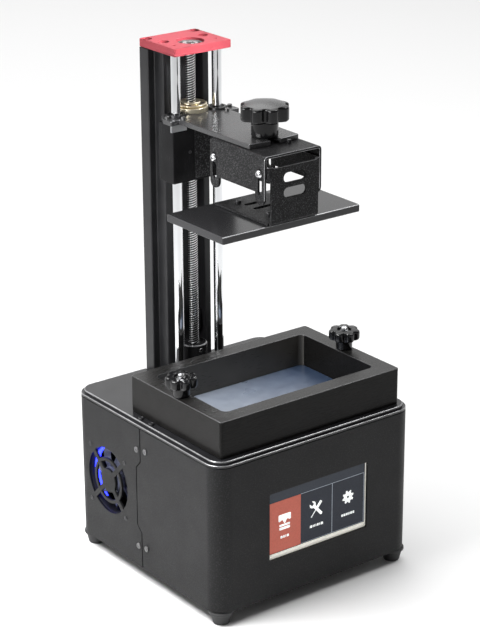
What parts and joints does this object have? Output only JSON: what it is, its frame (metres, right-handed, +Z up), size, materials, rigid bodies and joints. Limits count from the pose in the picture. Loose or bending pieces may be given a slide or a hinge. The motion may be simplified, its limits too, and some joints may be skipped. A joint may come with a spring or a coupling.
{
  "type": "resin printer",
  "caption": "Desktop resin printer: square base with touch screen, clamped resin vat, and a build plate on a screw-driven carriage that slides on two upright rods.",
  "frame": {"origin": "on the floor, under the middle of the base", "axes": "+Z up, -Y towards the touch screen and the user, +X to the user's right"},
  "size_m": [0.2, 0.2, 0.4285],
  "materials": {
    "black_paint": "fine-textured black powder coat",
    "lid_paint": "satin black powder coat",
    "black_anodised": "black anodised",
    "column_grey": "dark grey anodised extrusion",
    "red_anodised": "red anodised",
    "chrome": "polished hard chrome",
    "steel": "bright steel",
    "brass": "machined brass",
    "rubber": "matt black rubber",
    "knob_plastic": "polished black",
    "black_plastic": "matt black",
    "white_plastic": "white",
    "screen_glass": "lit display behind clear glass",
    "lcd_glass": "dark blue glass",
    "film_clear": "clear bluish film",
    "board_green": "green board",
    "heat_sink": "bare extrusion",
    "fan_blue": "blue, lit from inside"
  },
  "bodies": {
    "base": {"front_shell": "black_paint", "rear_shell": "black_paint", "floor_plate": "black_paint", "lid": "lid_paint", "stepper_motor": "black_anodised", "top_screw_1": "black_anodised", "top_screw_2": "black_anodised", "top_screw_3": "black_anodised", "top_screw_4": "black_anodised", "column": "column_grey", "top_plate": "red_anodised", "guide_rod_left": "chrome", "guide_rod_right": "chrome", "motor_bridge": "steel", "top_bearing": "steel", "vat_stud_left": "steel", "vat_stud_right": "steel", "usb_socket": "steel", "foot_front_left": "rubber", "foot_front_right": "rubber", "foot_rear_left": "rubber", "foot_rear_right": "rubber", "light_box": "black_plastic", "fan_frame": "black_plastic", "dc_inlet": "black_plastic", "switch_frame": "black_plastic", "limit_switch": "black_plastic", "screen_frame": "white_plastic", "uv_lamp": "white_plastic", "touch_screen": "screen_glass", "masking_lcd": "lcd_glass", "main_board": "board_green", "heat_sink": "heat_sink"},
    "screw": {"lead_screw": "steel", "shaft_coupler": "black_anodised", "motor_shaft": "steel"},
    "carriage": {"carriage_block": "black_anodised", "carriage_arm": "black_anodised", "lead_nut": "brass", "bearing_left_upper": "black_plastic", "bearing_right_upper": "black_plastic", "bearing_left_lower": "black_plastic", "bearing_right_lower": "black_plastic"},
    "build_head": {"hood_bracket": "black_paint", "clamp_stud": "steel"},
    "clamp_knob": {"clamp_knob": "knob_plastic"},
    "platform": {"saddle_bracket": "black_paint", "build_plate": "black_anodised", "level_screw_front_left": "steel", "level_screw_front_right": "steel", "level_screw_rear_left": "steel", "level_screw_rear_right": "steel"},
    "vat": {"vat_body": "black_anodised", "film_frame": "steel", "vat_film": "film_clear"},
    "vat_knob_left": {"vat_knob_left": "knob_plastic"},
    "vat_knob_right": {"vat_knob_right": "knob_plastic"},
    "fan": {"fan_rotor": "fan_blue"},
    "rocker": {"power_rocker": "black_plastic"}
  },
  "joints": [
    {"name": "z_slide", "type": "slide", "parent": "base", "child": "carriage", "axis": [0, 0, 1], "range_m": [-0.1548, 0.044]},
    {"name": "lead_screw_spin", "type": "hinge", "parent": "base", "child": "screw", "pos_m": [0, 0.0665, 0.3], "axis": [0, 0, 1], "continuous": true},
    {"name": "head_slide", "type": "slide", "parent": "carriage", "child": "build_head", "axis": [0, -1, 0], "range_m": [0, 0.06]},
    {"name": "clamp_knob_turn", "type": "hinge", "parent": "build_head", "child": "clamp_knob", "pos_m": [0, -0.031, 0.385], "axis": [0, 0, 1], "continuous": true},
    {"name": "platform_level", "type": "slide", "parent": "build_head", "child": "platform", "axis": [0, 0, 1], "range_m": [-0.004, 0.0015]},
    {"name": "vat_lift", "type": "slide", "parent": "base", "child": "vat", "axis": [0, 0, 1], "range_m": [0, 0.06]},
    {"name": "vat_knob_left_turn", "type": "hinge", "parent": "vat", "child": "vat_knob_left", "pos_m": [-0.0832, -0.031, 0.182], "axis": [0, 0, 1], "continuous": true},
    {"name": "vat_knob_right_turn", "type": "hinge", "parent": "vat", "child": "vat_knob_right", "pos_m": [0.0832, -0.031, 0.182], "axis": [0, 0, 1], "continuous": true},
    {"name": "fan_spin", "type": "hinge", "parent": "base", "child": "fan", "pos_m": [-0.093, 0.0525, 0.0738], "axis": [1, 0, 0], "continuous": true},
    {"name": "power_rocker_tilt", "type": "hinge", "parent": "base", "child": "rocker", "pos_m": [-0.052, 0.0945, 0.04], "axis": [1, 0, 0], "range_deg": [0, 20]}
  ],
  "couplings": [
    {"joint": "lead_screw_spin", "follows": "z_slide", "rad_per_m": -785.4}
  ]
}
